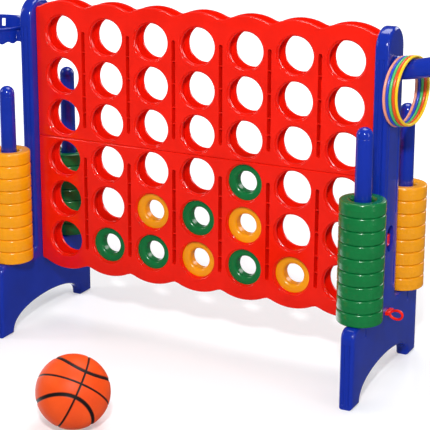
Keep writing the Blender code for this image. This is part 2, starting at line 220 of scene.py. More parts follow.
def cut(shape, cutters):
    """The shape with the cutters' volume taken away."""
    objects = []
    for source in (shape, cutters):
        bmesh.ops.recalc_face_normals(source, faces=source.faces)
        mesh = bpy.data.meshes.new("cut")
        source.to_mesh(mesh)
        source.free()
        made = bpy.data.objects.new("cut", mesh)
        bpy.context.scene.collection.objects.link(made)
        objects.append(made)
    step = objects[0].modifiers.new("cut", "BOOLEAN")
    step.operation = "DIFFERENCE"
    step.solver = "EXACT"
    step.object = objects[1]
    graph = bpy.context.evaluated_depsgraph_get()
    graph.update()
    result = bpy.data.meshes.new_from_object(objects[0].evaluated_get(graph))
    for made in objects:
        mesh = made.data
        bpy.data.objects.remove(made, do_unlink=True)
        bpy.data.meshes.remove(mesh)
    out = bmesh.new()
    out.from_mesh(result)
    bpy.data.meshes.remove(result)
    return out


# ---------------------------------------------------------------- shader helpers
def node(tree, kind, **values):
    """Adds a node; each value goes to the input of that name, or else to the property."""
    made = tree.nodes.new(kind)
    for key, value in values.items():
        if key in made.inputs:
            made.inputs[key].default_value = value
        else:
            setattr(made, key, value)
    return made


def map_range(tree, source, to_min, to_max, from_min=0.0, from_max=1.0):
    """Carries a value from one range into another."""
    made = node(tree, "ShaderNodeMapRange")
    ends = {"From Min": from_min, "From Max": from_max, "To Min": to_min, "To Max": to_max}
    for socket, value in ends.items():
        made.inputs[socket].default_value = value
    tree.links.new(source, made.inputs["Value"])
    return made.outputs["Result"]


def noise(tree, place, scale, detail, roughness=0.5):
    """Noise fixed to the object."""
    made = node(tree, "ShaderNodeTexNoise", Scale=scale, Detail=detail, Roughness=roughness)
    tree.links.new(place.outputs["Object"], made.inputs["Vector"])
    return made.outputs["Fac"]


def colour_ramp(tree, factor, low, high):
    """A ramp between two stops, each a position and a colour."""
    made = node(tree, "ShaderNodeValToRGB")
    for stop, (position, colour) in zip(made.color_ramp.elements, (low, high)):
        stop.position = position
        stop.color = (*colour, 1)
    tree.links.new(factor, made.inputs["Fac"])
    return made.outputs["Color"]


def painted(tree, factor, under, over):
    """A colour with a plain colour painted over it by the factor."""
    made = node(tree, "ShaderNodeMix", data_type="RGBA")
    made.inputs[7].default_value = (*over, 1)
    tree.links.new(factor, made.inputs[0])
    tree.links.new(under, made.inputs[6])
    return made.outputs[2]


# ---------------------------------------------------------------- materials
MOTTLE = 0.06
# How strongly the convex edges are painted lighter as a painted highlight, and the lift added to that
# lighter colour.
EDGE_HIGHLIGHT = 0.16
EDGE_HIGHLIGHT_LIFT = 0.016
DULLER, GLOSSIER = 0.05, 0.03


def moulded(name, colour, roughness):
    """Moulded plastic: faint flow mottle in the colour, uneven gloss, an orange-peel skin."""
    made = bpy.data.materials.new(name)
    made.use_nodes = True
    tree = made.node_tree
    shader = tree.nodes["Principled BSDF"]
    shader.inputs["IOR"].default_value = 1.45
    shader.inputs["Specular IOR Level"].default_value = 0.75
    place = node(tree, "ShaderNodeTexCoord")
    dark = [c * (1 - 1.6 * MOTTLE) for c in colour]
    light = [min(1.0, c * (1 + MOTTLE) + 0.001) for c in colour]
    base = colour_ramp(tree, noise(tree, place, 9.0, 5.0, 0.55), (0.30, dark), (0.72, light))
    # Convex edges are painted a shade lighter than the faces: a painted highlight where the rounded edges
    # catch the light.
    geometry = node(tree, "ShaderNodeNewGeometry")
    edge = map_range(tree, geometry.outputs["Pointiness"], 0.0, EDGE_HIGHLIGHT, 0.53, 0.62)
    highlighted_edges = painted(tree, edge, base, [min(1.0, 1.1 * c + EDGE_HIGHLIGHT_LIFT) for c in colour])
    tree.links.new(highlighted_edges, shader.inputs["Base Color"])
    smear = noise(tree, place, 38.0, 6.0, 0.65)
    gloss = map_range(tree, smear, roughness - GLOSSIER, roughness + DULLER)
    tree.links.new(gloss, shader.inputs["Roughness"])
    peel = node(tree, "ShaderNodeBump", Strength=0.10, Distance=0.0004)
    tree.links.new(noise(tree, place, 650.0, 3.0), peel.inputs["Height"])
    sink = node(tree, "ShaderNodeBump", Strength=0.05, Distance=0.002)
    tree.links.new(noise(tree, place, 22.0, 2.0, 0.4), sink.inputs["Height"])
    tree.links.new(peel.outputs["Normal"], sink.inputs["Normal"])
    tree.links.new(sink.outputs["Normal"], shader.inputs["Normal"])
    return made


RED = moulded("red_moulding", (0.90, 0.010, 0.001), 0.08)
BLUE = moulded("blue_moulding", (0.004, 0.026, 0.36), 0.13)
GREEN = moulded("green_moulding", (0.001, 0.175, 0.040), 0.22)
YELLOW = moulded("yellow_moulding", (0.94, 0.36, 0.001), 0.22)
DISC_COLOURS = {"green": GREEN, "yellow": YELLOW}
RING_COLOURS = {
    "pink": moulded("pink_tube", (0.95, 0.36, 0.24), 0.28),
    "blue": moulded("blue_tube", (0.020, 0.065, 0.60), 0.28),
    "green": moulded("green_tube", (0.09, 0.55, 0.14), 0.28),
    "orange": moulded("orange_tube", (0.86, 0.085, 0.006), 0.28),
    "yellow": moulded("yellow_tube", (1.0, 0.60, 0.004), 0.28),
}


# ---------------------------------------------------------------- board
def column_x(column):
    """The middle of a column, counted from 1 at the left."""
    return (column - (COLUMNS + 1) / 2) * COLUMN_PITCH


def row_z(row):
    """The middle of a row, counted from 1 at the top."""
    return SEAM_Z + ((ROWS + 1) / 2 - row) * ROW_PITCH


def gap_middles():
    """The middle of each gap between two columns, where the grooves are."""
    return [column_x(gap) + COLUMN_PITCH / 2 for gap in range(1, COLUMNS)]


def slider_level():
    """The height where the lowest discs rest on the slider."""
    return row_z(ROWS) - ROW_PITCH / 2


def scalloped_edge(crest_z, upward, steps=14):
    """The arched edge over all the columns, with the cusps between the arches filled in softly."""
    half = COLUMN_PITCH / 2
    radius = (half**2 + SCALLOP_DROP**2) / (2 * SCALLOP_DROP)
    points = []
    for column in range(1, COLUMNS + 1):
        for step in range(steps):
            x = -half + COLUMN_PITCH * step / steps
            fall = radius - math.sqrt(radius**2 - x**2)
            near = max(0.0, 1 - (half - abs(x)) / CUSP_FILLET)
            at_end = (column == 1 and x < 0) or (column == COLUMNS and x > 0)
            fill = 0 if at_end else CUSP_FILL * near**2
            points.append((column_x(column) + x, crest_z - (fall - fill) * upward))
    return points


def board_outline(upper):
    """The outline of an upper or lower face plate, seen from the front."""
    upward = 1 if upper else -1
    crest = BOARD_TOP if upper else BOARD_BOTTOM
    seam = SEAM_Z if upper else SEAM_Z - GAP
    end = COLUMNS * COLUMN_PITCH / 2
    side = crest - SCALLOP_DROP * upward
    rim = scalloped_edge(crest, upward) + [(end, side)]
    turn = [
        (
            BOARD_EDGE - BOARD_CORNER + BOARD_CORNER * math.sin(a),
            side - BOARD_CORNER * (1 - math.cos(a)) * upward,
        )
        for a in (math.radians(15 * i) for i in range(1, 7))
    ]
    right = [p for p in turn if p[0] > end + 0.001] + [(BOARD_EDGE, seam)]
    left = [(-x, z) for x, z in reversed(right)]
    outline = rim + right + left
    return outline if upper else outline[::-1]


def lip_profile(depth):
    """The rim of a hole, from the face inwards: a rounded edge, a hollow flare, a step and a tube."""
    edge = [
        (LIP_RADIUS - LIP_ROUND * math.sin(a), LIP_DROP - LIP_DROP * math.cos(a))
        for a in (math.radians(15 * i) for i in range(7))
    ]
    hollow = [
        (FLARE_RADIUS - FLARE_NARROWING * share**1.7, LIP_DROP + FLARE_DEPTH * share)
        for share in (0.25, 0.5, 0.75, 1.0)
    ]
    step = [
        (HOLE_RADIUS + STEP_ROUND - STEP_ROUND * math.sin(a), STEP_DEPTH - STEP_DROP * math.cos(a))
        for a in (math.radians(22.5 * i) for i in range(5))
    ]
    back = [(HOLE_RADIUS, depth - TUBE_CHAMFER), (HOLE_RADIUS + TUBE_CHAMFER, depth), (LIP_RADIUS, depth)]
    return edge + hollow + step + back


def half_rows(upper):
    """The rows on the upper or the lower half of the board."""
    return list(range(1, ROWS // 2 + 1)) if upper else list(range(ROWS // 2 + 1, ROWS + 1))


def groove_span(rows):
    """Where the grooves between the columns begin and end on one half of the board."""
    return row_z(rows[-1]) - GROOVE_FOOT, row_z(rows[0]) + GROOVE_HEAD


def rib_heights(rows):
    """Where small ribs cross a groove."""
    first, second, third = (row_z(row) for row in rows)
    return [first - 0.052, second + 0.012, second - 0.060, third + 0.022]


def groove_cutter(x, low, high, near, far):
    """A long slot with rounded ends, cut from depth near to depth far."""
    outline = arc((x, high), GROOVE_HALF, 0, 180, 8) + arc((x, low), GROOVE_HALF, 180, 360, 8)
    slot = bmesh.new()
    bottom = [slot.verts.new((u, v, near)) for u, v in outline]
    top = [slot.verts.new((u, v, far)) for u, v in outline]
    slot.faces.new(bottom[::-1])
    slot.faces.new(top)
    stitch(slot, [bottom, top], closed=False)
    return slot


def face_axes(front):
    """Carries a face's drawing plane into the model: the third axis runs into the board."""
    side = -1 if front else 1
    y = CENTRE_Y + side * BOARD_HALF_DEPTH
    return Matrix(((1, 0, 0, 0), (0, 0, -side, y), (0, 1, 0, 0), (0, 0, 0, 1)))


def board_half(node_name, front, upper):
    """One face plate: rounded rim, flared holes, and long grooves crossed by small ribs."""
    axes = face_axes(front)
    depth = BOARD_HALF_DEPTH - SLOT_HALF
    rows = half_rows(upper)
    plate = prism(board_outline(upper), 0, depth, BOARD_BEVEL, 4, axes, both=False)
    holes = [
        axes @ Matrix.Translation((column_x(column), row_z(row), 0))
        for column in range(1, COLUMNS + 1)
        for row in rows
    ]
    near, far = -2 * CUT_PAST, depth + 2 * CUT_PAST
    cutters = bmesh.new()
    plug = [(0, near), (LIP_RADIUS, near), (LIP_RADIUS, far), (0, far)]
    for hole in holes:
        lathe(cutters, plug, HOLE_SEGMENTS, hole, False)
    for x in gap_middles():
        slot = groove_cutter(x, *groove_span(rows), -CUT_PAST, depth + CUT_PAST)
        slot.transform(axes)
        add(cutters, slot)
    shape = cut(plate, cutters)
    for hole in holes:
        lathe(shape, lip_profile(depth), HOLE_SEGMENTS, hole)
    ribs = bmesh.new()
    half = GROOVE_HALF + RIB_OVERLAP
    for x in gap_middles():
        for z in rib_heights(rows):
            box(ribs, (x - half, z - RIB_HALF_HEIGHT, RIB_SINK), (x + half, z + RIB_HALF_HEIGHT, depth))
    ribs.transform(axes)
    add(shape, ribs)
    piece = finished("visual_" + node_name, shape, RED, 32)
    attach(piece, "frame")
    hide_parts(node_name)


def column_walls():
    """The walls between the columns with their grooves, the hooks, and the ledge under the slider."""
    low, high = (Vector(corner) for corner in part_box("column_walls"))
    slider_top = slider_level() - SLIDER_CLEARANCE
    half_depth = (high.y - low.y) / 2
    half = DIVIDER_WIDTH / 2
    middles = [(wall - COLUMNS / 2) * COLUMN_PITCH for wall in range(COLUMNS + 1)]
    walls = bmesh.new()
    for x in middles:
        box(walls, (x - half, low.y, slider_top + 0.0008), (x + half, high.y, high.z), DIVIDER_BEVEL)
    cutters = bmesh.new()
    for upper in (True, False):
        for front in (True, False):
            for x in gap_middles():
                slot = groove_cutter(x, *groove_span(half_rows(upper)), 0.0, GROOVE_DEPTH)
                slot.transform(face_axes(front))
                add(cutters, slot)
    shape = cut(walls, cutters)
    # Below the walls, a cheek on each side of the slider carries them down to the ledge.
    ledge_top = low.z + LEDGE_THICKNESS
    half -= 0.0005
    for x in middles:
        for side in (-1, 1):
            y = sorted((CENTRE_Y + side * half_depth, CENTRE_Y + side * CHANNEL_HALF_WIDTH))
            box(shape, (x - half, y[0], ledge_top - 0.001), (x + half, y[1], slider_top + 0.002))
    box(shape, (-LEDGE_HALF_LENGTH, low.y, low.z), (LEDGE_HALF_LENGTH, high.y, ledge_top), 0.001)
    near, far = CENTRE_Y - HOOK_HALF_WIDTH, CENTRE_Y + HOOK_HALF_WIDTH
    for centre_z in HOOK_SLOT_Z:
        foot = centre_z - HOOK_SLOT_HEIGHT / 2 + HOOK_FOOT
        for way in (-1, 1):
            x = sorted((way * HOOK_ROOT_X, way * high.x))
            box(shape, (x[0], near, foot), (x[1], far, foot + HOOK_HEIGHT), 0.003)
    piece = finished("visual_column_walls", shape, RED, 32)
    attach(piece, "frame")
    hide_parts("column_walls")


for level, is_upper in (("upper", True), ("lower", False)):
    for face, is_front in (("front", True), ("back", False)):
        board_half(f"board_{face}_{level}", is_front, is_upper)
column_walls()


# ---------------------------------------------------------------- legs and pegs
LEG_BEVEL = 0.0105
SHOULDER_RADIUS = 0.030
POST_HALF_DEPTH = 0.063
POST_FILLET = 0.018
FOOT_LENGTH = 0.0612
ARCH_HEIGHT = 0.075
ARCH_STEPS = 28
PANEL_GROOVE_Y = 0.040
PANEL_GROOVES = ((0.285, 0.375), (0.500, 0.790))
FLUTE_X = 0.0075
FLUTE_SINK = 0.0016
FLUTE_RADIUS = 0.0042
FOOT_FLUTE = (0.016, 0.190)
POST_FLUTE = (0.275, 0.955)
PEG_Y = 0.170
PEG_SLIT = (0.190, 0.218)
PEG_TIP_RADIUS = 0.0235
PEG_TAPER = 0.0019


def leg_outline():
    """A leg from the side: two feet, the arch between them, the shoulders and the round-topped post."""
    inner_foot = LEG_HALF_DEPTH - FOOT_LENGTH
    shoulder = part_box("front_right_peg")[0][2] - GAP
    half = [(inner_foot, 0), (LEG_HALF_DEPTH, 0)]
    half += arc((LEG_HALF_DEPTH - SHOULDER_RADIUS, shoulder - SHOULDER_RADIUS), SHOULDER_RADIUS, 0, 90, 10)
    half += arc((POST_HALF_DEPTH + POST_FILLET, shoulder + POST_FILLET), POST_FILLET, 270, 180, 8)
    half += arc((0, POST_TOP - POST_HALF_DEPTH), POST_HALF_DEPTH, 0, 90, 18)
    other = [(-y, z) for y, z in reversed(half[:-1])]
    angles = [math.pi * i / ARCH_STEPS for i in range(1, ARCH_STEPS)]
    arch = [(-inner_foot * math.cos(a), ARCH_HEIGHT * math.sin(a) ** 0.8) for a in angles]
    return half + other + arch


def leg(name, side):
    """A leg moulding: rounded edges, hook slots, flutes down the post and a slit under each peg."""
    low = -LEG_THICKNESS / 2
    axes = Matrix(((0, 0, side, side * LEG_X), (1, 0, 0, CENTRE_Y), (0, 1, 0, 0), (0, 0, 0, 1)))
    body = prism(leg_outline(), low, -low, LEG_BEVEL, 6, axes)
    cutters = bmesh.new()

    def groove(x, y, foot, head, radius):
        capsule(cutters, (x, CENTRE_Y + y, foot), (x, CENTRE_Y + y, head), radius)

    reach = (HOOK_SLOT_HEIGHT - HOOK_SLOT_WIDTH) / 2
    for z in HOOK_SLOT_Z:
        outline = arc((0, z + reach), HOOK_SLOT_WIDTH / 2, 0, 180, 14)
        outline += arc((0, z - reach), HOOK_SLOT_WIDTH / 2, 180, 360, 14)
        add(cutters, prism(outline, low - CUT_PAST, CUT_PAST - low, 0, 1, axes))
    if side > 0:
        top = slider_level() + SLIDER_CLEARANCE
        inner, outer = LEG_LOW.x - CUT_PAST, LEG_HIGH.x + CUT_PAST
        box(cutters, (inner, CENTRE_Y - SLOT_HALF, top - 0.012), (outer, CENTRE_Y + SLOT_HALF, top))
    face = side * LEG_OUTER_X
    for y in (-PANEL_GROOVE_Y, PANEL_GROOVE_Y):
        for span in PANEL_GROOVES:
            groove(face + side * 0.0025, y, *span, 0.0055)
    for way in (-1, 1):
        for x in (-FLUTE_X, FLUTE_X):
            groove(side * LEG_X + x, way * (LEG_HALF_DEPTH + FLUTE_SINK), *FOOT_FLUTE, FLUTE_RADIUS)
            groove(side * LEG_X + x, way * (POST_HALF_DEPTH + FLUTE_SINK), *POST_FLUTE, FLUTE_RADIUS)
    for y in (-PEG_Y, PEG_Y):
        groove(face + side * 0.002, y, *PEG_SLIT, 0.0045)
    piece = finished(name, cut(body, cutters), BLUE, 32)
    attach(piece, "frame")
    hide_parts(name.replace("visual_", ""))


leg("visual_left_leg", -1)
leg("visual_right_leg", 1)


def peg(node_name):
    """A tapered peg with a domed end, a collar at its foot and a moulding line near the dome."""
    low, high = (Vector(corner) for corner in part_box(node_name))
    middle = (low + high) / 2
    height = high.z - low.z
    tip = PEG_TIP_RADIUS
    dome = arc((0, height - tip), tip, 90, 0, 14)
    dome[0] = (0, height)
    line = height - tip - 0.006
    shaft = [(tip, line), (tip - 0.0005, line - 0.0006), (tip, line - 0.0014)]
    shaft += [(tip + PEG_TAPER * i / 6, line - 0.004 - (line - 0.020) * i / 6) for i in range(7)]
    foot = [(0.0255, 0.0100), (0.0255, 0.0008), (0.0248, 0), (0, 0)]
    shape = bmesh.new()
    lathe(shape, dome + shaft + foot, 56, Matrix.Translation((middle.x, middle.y, low.z)), False)
    piece = finished("visual_" + node_name, shape, BLUE, 32)
    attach(piece, "frame")
    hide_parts(node_name)


for row in ("front", "rear"):
    for side in ("left", "right"):
        peg(f"{row}_{side}_peg")


# ---------------------------------------------------------------- discs
DISC_RADIUS = 0.0656
DISC_BORE = 0.0320
DISC_THICKNESS = 0.0395
DISC_CORNER = 0.0058
DISC_LEAD = 0.0100
DISC_SEGMENTS = 64


def disc_profile(thickness):
    """A ring disc's section: round corners, a wide round bore edge and a fine parting ridge."""
    corner, lead = DISC_CORNER, DISC_LEAD
    middle = thickness / 2
    outside = arc((DISC_RADIUS - corner, thickness - corner), corner, 84, 0, 6)
    outside += [(DISC_RADIUS, middle + 0.0006), (DISC_RADIUS + 0.0001, middle)]
    outside += [(DISC_RADIUS, middle - 0.0006)]
    outside += arc((DISC_RADIUS - corner, corner), corner, 0, -84, 6)
    inside = arc((DISC_BORE + lead, lead), lead, 264, 180, 8)
    inside += [(DISC_BORE - 0.0002, middle - 0.0010), (DISC_BORE - 0.0002, middle + 0.0010)]
    inside += arc((DISC_BORE + lead, thickness - lead), lead, 180, 96, 8)
    return outside + inside


def disc(node_name, colour):
    """A disc standing in the board, or one or more discs lying on a peg."""
    low, high = (Vector(corner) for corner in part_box(node_name))
    middle = (low + high) / 2
    size = high - low
    shape = bmesh.new()
    if size.y < DISC_RADIUS:
        turn = Matrix.Translation((middle.x, low.y, middle.z)) @ Matrix.Rotation(-math.pi / 2, 4, "X")
        lathe(shape, disc_profile(size.y), DISC_SEGMENTS, turn)
    else:
        count = max(1, round(size.z / DISC_THICKNESS))
        each = (size.z - (count - 1) * GAP) / count
        for i in range(count):
            lift = Matrix.Translation((middle.x, middle.y, low.z + i * (each + GAP)))
            lathe(shape, disc_profile(each), DISC_SEGMENTS, lift)
    piece = finished("visual_" + node_name, shape, DISC_COLOURS[colour], 50)
    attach(piece, node_name)
    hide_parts(node_name)


for node_name in sorted(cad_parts):
    if "_disc_" in node_name:
        disc(node_name, node_name.split("_")[0])


# ---------------------------------------------------------------- release slider
BAR_HALF_WIDTH = 0.0198
BAR_THICKNESS = 0.0108
BAR_STICKOUT = 0.012
LOOP_STANDOFF = 0.004
LOOP_HALF_HEIGHT = 0.0185
LOOP_MARGIN = 0.0038
LOOP_NARROWING = 0.22
LOOP_STEPS, LOOP_SIDES = 48, 14
ROD_HALF_HEIGHT, ROD_HALF_WIDTH = 0.0036, 0.0060


def loop_point(angle, half_long, half_high):
    """A point on the handle's middle line, an oval that narrows towards the leg."""
    narrowing = 1 - LOOP_NARROWING * (1 - math.cos(angle)) / 2
    return Vector((half_long * math.cos(angle), 0, half_high * math.sin(angle) * narrowing))


def release_slider():
    """The sliding bar with its loop handle: a flattened rod bent into a rounded triangle."""
    low, high = (Vector(corner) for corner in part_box("release_slider"))
    top = slider_level() - SLIDER_CLEARANCE
    bar_low = (low.x, CENTRE_Y - BAR_HALF_WIDTH, top - BAR_THICKNESS)
    bar_high = (LEG_OUTER_X + BAR_STICKOUT, CENTRE_Y + BAR_HALF_WIDTH, top)
    shape = bmesh.new()
    box(shape, bar_low, bar_high, 0.0015)
    start_x = LEG_OUTER_X + LOOP_STANDOFF
    middle = Vector(((start_x + high.x) / 2, CENTRE_Y, low.z + LOOP_HALF_HEIGHT))
    halves = ((high.x - start_x) / 2 - LOOP_MARGIN, LOOP_HALF_HEIGHT - LOOP_MARGIN)
    side_way = Vector((0, 1, 0))
    rings = []
    for i in range(LOOP_STEPS):
        point = loop_point(2 * math.pi * i / LOOP_STEPS, *halves)
        along = loop_point(2 * math.pi * (i + 0.01) / LOOP_STEPS, *halves) - point
        across = along.normalized().cross(side_way)
        ring = []
        for b in turn_angles(LOOP_SIDES):
            offset = across * ROD_HALF_HEIGHT * math.cos(b) + side_way * ROD_HALF_WIDTH * math.sin(b)
            ring.append(shape.verts.new(middle + point + offset))
        rings.append(ring)
    stitch(shape, rings)
    piece = finished("visual_release_slider", shape, RED, 40)
    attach(piece, "release_slider")
    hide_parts("release_slider")


release_slider()


# ---------------------------------------------------------------- ball hoop
HOOP_STEPS, HOOP_LEVELS = 240, 12
HOOP_LIP = 0.004
HOOP_TAPER = 0.004
HOOP_WALL = 0.0045
HOOP_WAVES, HOOP_WAVE = 24, 0.0032
HOOP_WINDOWS = 12
WINDOW_HALF_WIDTH = 0.0065
WINDOW_FOOT, WINDOW_HEAD = 0.015, 0.012
BRACKET_HALF_WIDTH = 0.045
BRACKET_WEBS = (-0.040, 0.0, 0.040)
WEB_HALF_WIDTH = 0.003


def ball_hoop():
    """The hoop's band: rolled lip, windows all round, a wavy lower edge, and its bracket."""
    low, high = (Vector(corner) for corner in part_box("ball_hoop"))
    outer = (high.y - low.y) / 2
    radius = outer - HOOP_LIP
    centre = Vector((low.x + outer, CENTRE_Y, 0))
    top, bottom = high.z, low.z
    band_top = top - 2 * HOOP_LIP
    shape = bmesh.new()

    def lip_ring(roll):
        r, z = radius + HOOP_LIP * math.sin(roll), top - HOOP_LIP + HOOP_LIP * math.cos(roll)
        return [
            shape.verts.new(centre + Vector((r * math.cos(a), r * math.sin(a), z)))
            for a in turn_angles(HOOP_STEPS)
        ]

    def band_ring(r, share):
        """A ring of the band, a share of the way down to its wavy edge."""
        made = []
        for a in turn_angles(HOOP_STEPS):
            edge = bottom + HOOP_WAVE * (1 + math.cos(HOOP_WAVES * a))
            z = band_top + (edge - band_top) * share
            made.append(shape.verts.new(centre + Vector((r * math.cos(a), r * math.sin(a), z))))
        return made

    shares = [i / HOOP_LEVELS for i in range(1, HOOP_LEVELS + 1)]
    rings = [lip_ring(math.pi * k / 8) for k in range(-3, 8)]
    rings += [band_ring(radius - HOOP_TAPER * share, share) for share in shares]
    rings += [band_ring(radius - HOOP_TAPER * share - HOOP_WALL, share) for share in reversed(shares)]
    stitch(shape, rings)
    window_low = (radius - 0.02, -WINDOW_HALF_WIDTH, bottom + WINDOW_FOOT)
    window_high = (radius + 0.02, WINDOW_HALF_WIDTH, top - WINDOW_HEAD)
    cutters = bmesh.new()
    for k in range(HOOP_WINDOWS):
        window = bmesh.new()
        box(window, window_low, window_high)
        turn = Matrix.Rotation(math.pi * (2 * k + 1) / HOOP_WINDOWS, 4, "Z")
        window.transform(Matrix.Translation(centre) @ turn)
        add(cutters, window)
    shape = cut(shape, cutters)
    post = -LEG_OUTER_X - GAP
    back_low = (post - 0.006, CENTRE_Y - BRACKET_HALF_WIDTH, bottom + 0.004)
    back_high = (post, CENTRE_Y + BRACKET_HALF_WIDTH, top - 0.010)
    box(shape, back_low, back_high, 0.002)
    for y in BRACKET_WEBS:
        web_low = (post - 0.024, CENTRE_Y + y - WEB_HALF_WIDTH, bottom + 0.006)
        web_high = (post - 0.004, CENTRE_Y + y + WEB_HALF_WIDTH, top - 0.014)
        box(shape, web_low, web_high, 0.001)
    piece = finished("visual_ball_hoop", shape, BLUE, 40)
    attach(piece, "frame")
    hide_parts("ball_hoop")


ball_hoop()


# ---------------------------------------------------------------- toss arm and rings
ARM_LOW, ARM_HIGH = (Vector(corner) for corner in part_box("toss_arm"))
ARM_RADIUS = 0.0275
ARM_FLANGE = (ARM_HIGH.y - ARM_LOW.y) / 2
ARM_BASE_Z = ARM_LOW.z + ARM_FLANGE
ARM_REACH = ARM_HIGH.x
ARM_RISE = 0.098
ARM_STEPS, ARM_DOME_STEPS, ARM_SIDES = 40, 6, 40
ARM_DOME_START = 0.965
ARM_DOME_LENGTH = 0.55
ARM_FLANGE_PROFILE = [
    (0, 0), (ARM_FLANGE - 0.001, 0), (ARM_FLANGE, 0.001), (ARM_FLANGE, 0.0045), (ARM_FLANGE - 0.0015, 0.006),
    (0.0325, 0.0064), (0.0310, 0.0085), (0.0302, 0.0120), (0.0285, 0.0132), (0, 0.0132),
]
RING_RADIUS = 0.0958
RING_SECTION = 0.0042
RING_TURN = -8
RING_STEPS, RING_SIDES = 96, 14
SLEEVE_FIRST, SLEEVE_LAST, SLEEVE_SWELL = 20, 25, 1.10


def arm_point(share):
    """The arm's middle line, from the post to its tip."""
    x = LEG_OUTER_X + GAP + (ARM_REACH - 0.012 - LEG_OUTER_X) * share
    along = (x - LEG_OUTER_X) / (ARM_REACH - LEG_OUTER_X)
    return Vector((x, CENTRE_Y, ARM_BASE_Z + ARM_RISE * max(along, 0) ** 1.6))


def toss_arm():
    """A bent tube with a domed tip and a stepped flange at the post."""
    shape = bmesh.new()
    side_way = Vector((0, 1, 0))
    rings = []
    for i in range(ARM_STEPS + ARM_DOME_STEPS):
        share = min(1.0, i / (ARM_STEPS - 1)) * ARM_DOME_START
        point = arm_point(share)
        along = (arm_point(share + 0.002) - point).normalized() if i else Vector((1, 0, 0))
        radius = ARM_RADIUS
        if i >= ARM_STEPS:
            t = math.radians(86) * (i - ARM_STEPS + 1) / ARM_DOME_STEPS
            point = point + along * ARM_RADIUS * ARM_DOME_LENGTH * math.sin(t)
            radius = ARM_RADIUS * math.cos(t)
        up = side_way.cross(along)
        rings.append([
            shape.verts.new(point + side_way * radius * math.cos(b) + up * radius * math.sin(b))
            for b in turn_angles(ARM_SIDES)
        ])
    stitch(shape, rings, closed=False)
    shape.faces.new(rings[0][::-1])
    shape.faces.new(rings[-1])
    start = Matrix.Translation((LEG_OUTER_X + GAP, CENTRE_Y, ARM_BASE_Z))
    start = start @ Matrix.Rotation(math.pi / 2, 4, "Y")
    lathe(shape, ARM_FLANGE_PROFILE, 48, start, False)
    piece = finished("visual_toss_arm", shape, BLUE, 40)
    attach(piece, "frame")
    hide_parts("toss_arm")


toss_arm()


def toss_ring(colour):
    """A plastic tube bent into a ring, its ends joined in a short sleeve."""
    node_name = "toss_ring_" + colour
    low, high = (Vector(corner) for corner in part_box(node_name))
    yaw = Matrix.Rotation(math.radians(RING_TURN), 4, "Z")
    turn = Matrix.Translation((low + high) / 2) @ yaw @ Matrix.Rotation(math.pi / 2, 4, "Y")
    shape = bmesh.new()
    rings = []
    for i, a in enumerate(turn_angles(RING_STEPS)):
        section = RING_SECTION * (SLEEVE_SWELL if SLEEVE_FIRST <= i <= SLEEVE_LAST else 1.0)
        ring = []
        for b in turn_angles(RING_SIDES):
            reach = RING_RADIUS + section * math.cos(b)
            place = Vector((reach * math.cos(a), reach * math.sin(a), section * math.sin(b)))
            ring.append(shape.verts.new(turn @ place))
        rings.append(ring)
    stitch(shape, rings)
    piece = finished("visual_" + node_name, shape, RING_COLOURS[colour], 40)
    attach(piece, node_name)
    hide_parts(node_name)


for ring_colour in RING_COLOURS:
    toss_ring(ring_colour)


# ---------------------------------------------------------------- basketball
BALL_LOW, BALL_HIGH = (Vector(corner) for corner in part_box("basketball"))
BALL_RADIUS = (BALL_HIGH.z - BALL_LOW.z) / 2
BALL_CUTS = 110
BALL_TURN = {"X": 51.7, "Y": 26.2, "Z": 29.0}
SEAM_OFFSET = 0.62
SEAM_BOW = -0.29
BOWED_SEAM_SHARE = 0.7
SEAM_HALF_WIDTH = 0.033
SEAM_SLOPE = 0.011
SEAM_SINK = 0.0014


def seam_distance(p):
    """How far a point of the unit sphere is from the nearest seam, in radii."""
    x, y, z = p
    bowed = abs(abs(y) - (SEAM_OFFSET + SEAM_BOW * z * z))
    return min(abs(x), abs(y), bowed * BOWED_SEAM_SHARE)


def ball_material():
    """Pebbled orange rubber with black seams."""
    made = bpy.data.materials.new("ball_rubber")
    made.use_nodes = True
    tree = made.node_tree
    shader = tree.nodes["Principled BSDF"]
    shader.inputs["IOR"].default_value = 1.42
    shader.inputs["Specular IOR Level"].default_value = 0.45
    place = node(tree, "ShaderNodeTexCoord")
    seam = node(tree, "ShaderNodeAttribute", attribute_name="seam")
    flow = noise(tree, place, 14.0, 5.0)
    rubber = colour_ramp(tree, flow, (0.3, (0.82, 0.064, 0.001)), (0.7, (0.95, 0.092, 0.001)))
    paint = painted(tree, seam.outputs["Fac"], rubber, (0.006, 0.003, 0.003))
    tree.links.new(paint, shader.inputs["Base Color"])
    pebble = node(tree, "ShaderNodeTexVoronoi", Scale=330.0)
    tree.links.new(place.outputs["Object"], pebble.inputs["Vector"])
    bump = node(tree, "ShaderNodeBump", Strength=0.45, Distance=0.0006, invert=True)
    tree.links.new(pebble.outputs["Distance"], bump.inputs["Height"])
    tree.links.new(bump.outputs["Normal"], shader.inputs["Normal"])
    tree.links.new(map_range(tree, flow, 0.42, 0.60), shader.inputs["Roughness"])
    return made


